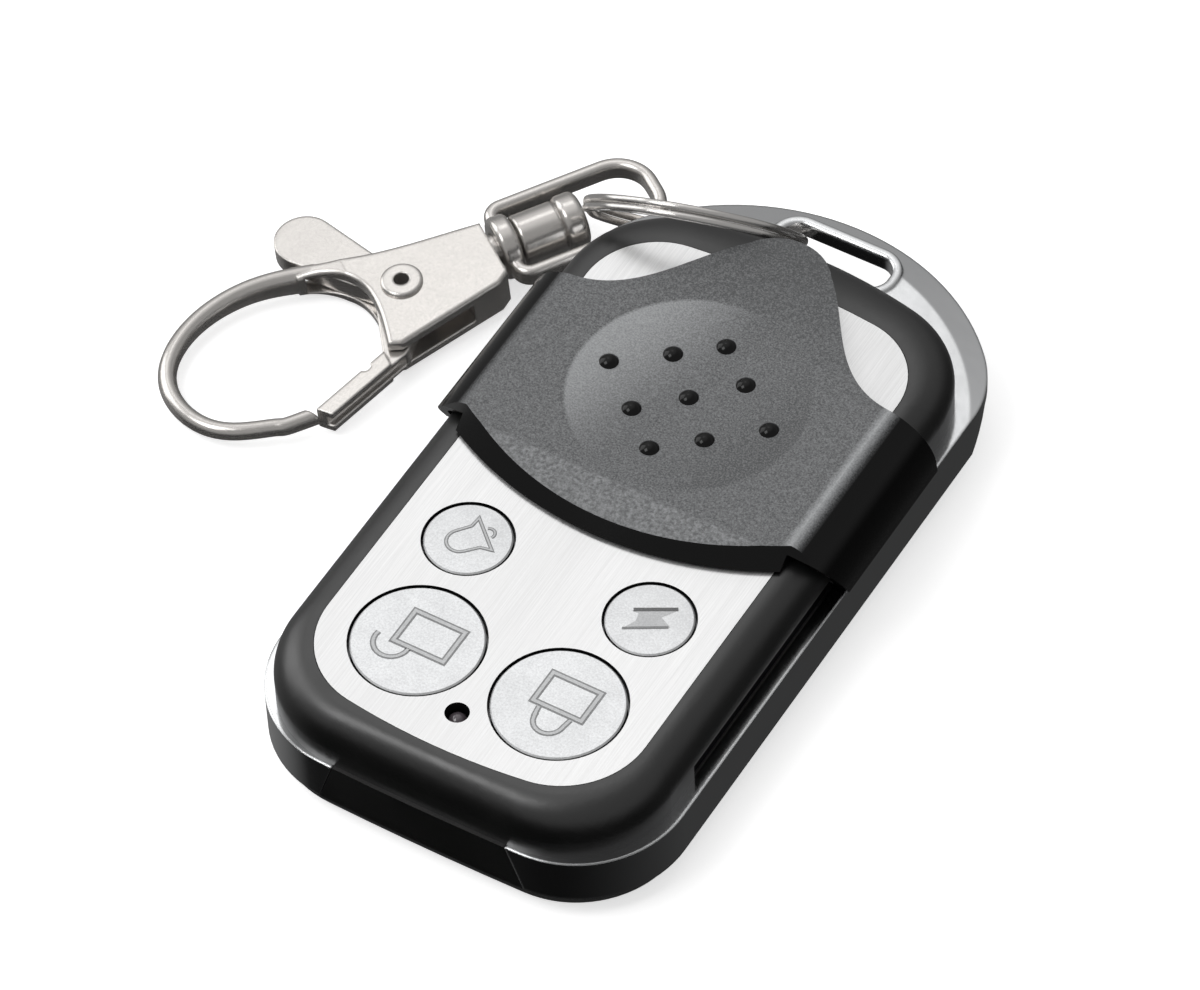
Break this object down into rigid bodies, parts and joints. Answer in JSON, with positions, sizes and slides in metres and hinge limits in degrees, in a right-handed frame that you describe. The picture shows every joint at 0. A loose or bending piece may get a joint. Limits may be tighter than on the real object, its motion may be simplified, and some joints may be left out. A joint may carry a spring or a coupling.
{
  "type": "keychain remote",
  "caption": "Slim hand-held radio remote with round push buttons under a sliding cover, a bright metal band with a key-ring slot, and a split ring with a swivel snap clasp.",
  "frame": {"origin": "centre of the case's back face, on the surface the remote rests on", "axes": "+Z out of the faceplate, +Y from the buttons to the key-ring end, +X to the right seen from the front"},
  "size_m": [0.0611, 0.066, 0.0152],
  "materials": {
    "polished_frame": "bright plated cast metal",
    "body_black": "soft gloss black moulding",
    "back_black": "fine moulded texture",
    "brushed_face": "brushed lengthwise",
    "cover_grey": "matte grey paint with fine sparkle",
    "button_grey": "satin light grey",
    "ring_steel": "polished spring steel",
    "clasp_metal": "warm nickel plate",
    "lens_clear": "tinted clear resin",
    "board_green": "solder mask",
    "chip_black": "moulded chip body",
    "tin_metal": "tinned",
    "plunger_black": "moulded",
    "cell_can": "sleeved cell",
    "contact_spring": "nickel plated spring steel",
    "screw_steel": "black zinc"
  },
  "bodies": {
    "remote": {"metal_frame": "polished_frame", "front_shell": "body_black", "faceplate": "brushed_face", "rear_cover": "back_black", "case_screws": "screw_steel", "circuit_board": "board_green", "tact_switches": "chip_black", "encoder_chip": "chip_black", "saw_resonator": "tin_metal", "rf_transistor": "chip_black", "smd_passives": "tin_metal", "board_antenna": "contact_spring", "indicator_led": "lens_clear", "battery": "cell_can", "battery_contact_positive": "contact_spring", "battery_contact_negative": "contact_spring"},
    "cover": {"slide_cover": "cover_grey"},
    "key_ring": {"split_ring": "ring_steel"},
    "eye": {"swivel_eye": "clasp_metal"},
    "clasp": {"clasp_body": "clasp_metal", "swivel_post": "clasp_metal", "clasp_rivet": "clasp_metal"},
    "trigger": {"clasp_trigger": "clasp_metal", "clasp_spring": "contact_spring"},
    "unlock": {"button_unlock": "button_grey", "switch_plunger_unlock": "plunger_black"},
    "lock": {"button_lock": "button_grey", "switch_plunger_lock": "plunger_black"},
    "alarm": {"button_alarm": "button_grey", "switch_plunger_alarm": "plunger_black"},
    "flash": {"button_flash": "button_grey", "switch_plunger_flash": "plunger_black"}
  },
  "joints": [
    {"name": "cover_slide", "type": "slide", "parent": "remote", "child": "cover", "axis": [0, -1, 0], "range_m": [0, 0.02]},
    {"name": "press_unlock", "type": "slide", "parent": "remote", "child": "unlock", "axis": [0, 0, -1], "range_m": [0, 0.0004], "stiffness_N_per_m": 1500, "springref_m": -0.0004},
    {"name": "press_lock", "type": "slide", "parent": "remote", "child": "lock", "axis": [0, 0, -1], "range_m": [0, 0.0004], "stiffness_N_per_m": 1500, "springref_m": -0.0004},
    {"name": "press_alarm", "type": "slide", "parent": "remote", "child": "alarm", "axis": [0, 0, -1], "range_m": [0, 0.0004], "stiffness_N_per_m": 1500, "springref_m": -0.0004},
    {"name": "press_flash", "type": "slide", "parent": "remote", "child": "flash", "axis": [0, 0, -1], "range_m": [0, 0.0004], "stiffness_N_per_m": 1500, "springref_m": -0.0004},
    {"name": "ring_swing", "type": "hinge", "parent": "remote", "child": "key_ring", "pos_m": [-0.0029, 0.0289, 0.0054], "axis": [0, 0, -1], "range_deg": [0, 120]},
    {"name": "eye_swing", "type": "hinge", "parent": "key_ring", "child": "eye", "pos_m": [-0.01766, 0.02663, 0.00319], "axis": [-0.4851, -0.6031, 0.6332], "range_deg": [-28, 10]},
    {"name": "clasp_swivel", "type": "hinge", "parent": "eye", "child": "clasp", "pos_m": [-0.02472, 0.01993, 0.0027], "axis": [0.5827, 0.811, 0.0523], "continuous": true},
    {"name": "gate_open", "type": "hinge", "parent": "clasp", "child": "trigger", "pos_m": [-0.02921, 0.01197, 0.00222], "axis": [0.0305, 0.0425, -0.9986], "range_deg": [0, 22], "stiffness_Nm_per_rad": 0.012, "springref_deg": -12.03}
  ]
}
